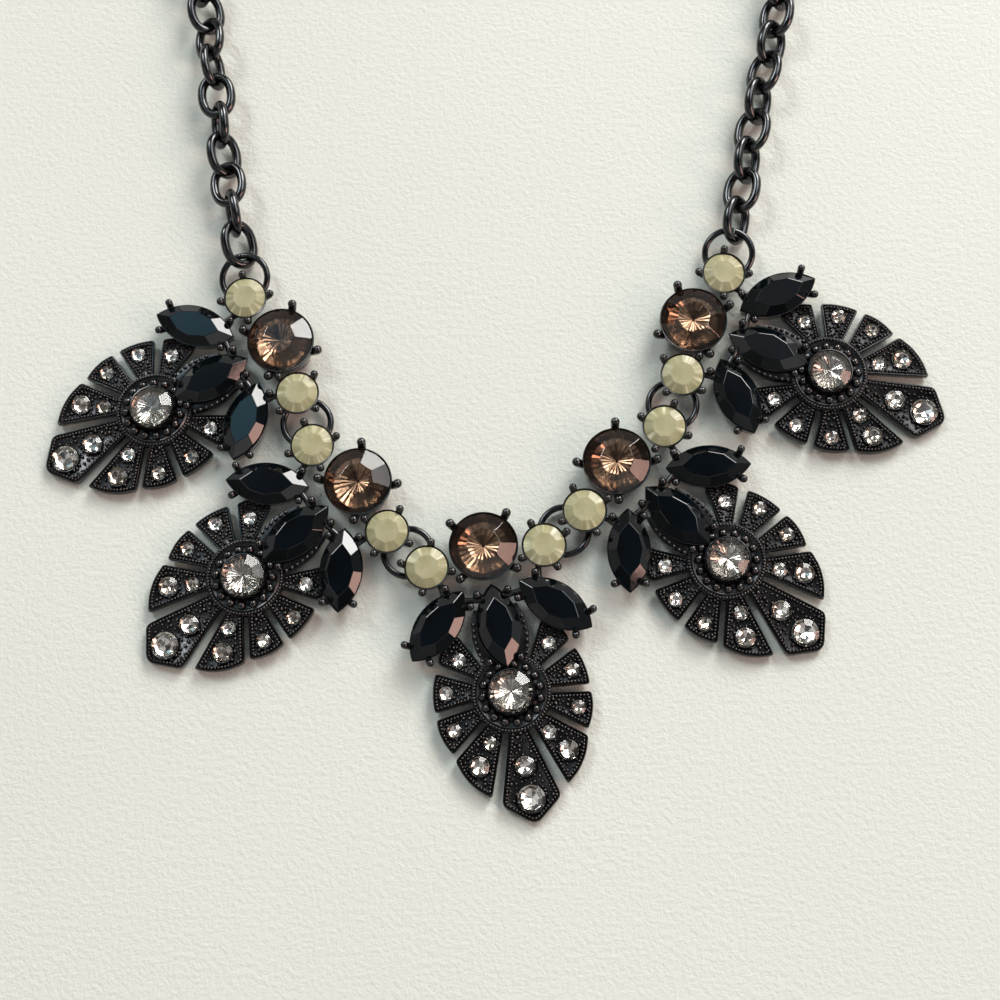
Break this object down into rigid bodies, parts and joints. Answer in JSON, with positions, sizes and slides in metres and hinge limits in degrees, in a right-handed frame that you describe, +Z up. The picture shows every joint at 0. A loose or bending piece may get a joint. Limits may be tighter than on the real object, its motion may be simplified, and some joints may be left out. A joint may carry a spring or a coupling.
{
  "type": "bib necklace",
  "caption": "Bib necklace of leaf-shaped cast plaques set with round and navette stones, linked by jump rings and closed by a cable chain with a clasp.",
  "frame": {"origin": "on the surface, under the middle of the middle station's brown stone", "axes": "+Z up from the surface, +Y from the bib towards the clasp, +X to the right as seen from above"},
  "size_m": [0.1541, 0.2285, 0.0066],
  "materials": {
    "gunmetal": "dark gunmetal plating over cast zinc alloy and steel wire",
    "brown_glass": "smoky brown foil-backed faceted glass",
    "opal_glass": "milky pale yellow-green opal glass",
    "black_glass": "black faceted resin, polished",
    "clear_glass": "clear foil-backed faceted glass"
  },
  "bodies": {
    "root": {"setting_middle": "gunmetal", "brown_middle": "brown_glass", "opal_middle_left": "opal_glass", "opal_middle_right": "opal_glass", "navette_middle_left": "black_glass", "navette_middle_middle": "black_glass", "navette_middle_right": "black_glass", "clear_middle": "clear_glass", "setting_right_mid": "gunmetal", "brown_right_mid": "brown_glass", "opal_right_mid_left": "opal_glass", "opal_right_mid_right": "opal_glass", "navette_right_mid_left": "black_glass", "navette_right_mid_middle": "black_glass", "navette_right_mid_right": "black_glass", "clear_right_mid": "clear_glass", "setting_right_end": "gunmetal", "brown_right_end": "brown_glass", "opal_right_end_left": "opal_glass", "opal_right_end_right": "opal_glass", "navette_right_end_left": "black_glass", "navette_right_end_middle": "black_glass", "navette_right_end_right": "black_glass", "clear_right_end": "clear_glass", "setting_left_mid": "gunmetal", "brown_left_mid": "brown_glass", "opal_left_mid_left": "opal_glass", "opal_left_mid_right": "opal_glass", "navette_left_mid_left": "black_glass", "navette_left_mid_middle": "black_glass", "navette_left_mid_right": "black_glass", "clear_left_mid": "clear_glass", "setting_left_end": "gunmetal", "brown_left_end": "brown_glass", "opal_left_end_left": "opal_glass", "opal_left_end_right": "opal_glass", "navette_left_end_left": "black_glass", "navette_left_end_middle": "black_glass", "navette_left_end_right": "black_glass", "clear_left_end": "clear_glass", "ring_left_outer": "gunmetal", "ring_left_inner": "gunmetal", "ring_right_inner": "gunmetal", "ring_right_outer": "gunmetal", "end_ring_left": "gunmetal", "end_ring_right": "gunmetal", "chain_left": "gunmetal", "chain_right": "gunmetal", "clasp": "gunmetal"}
  },
  "joints": []
}
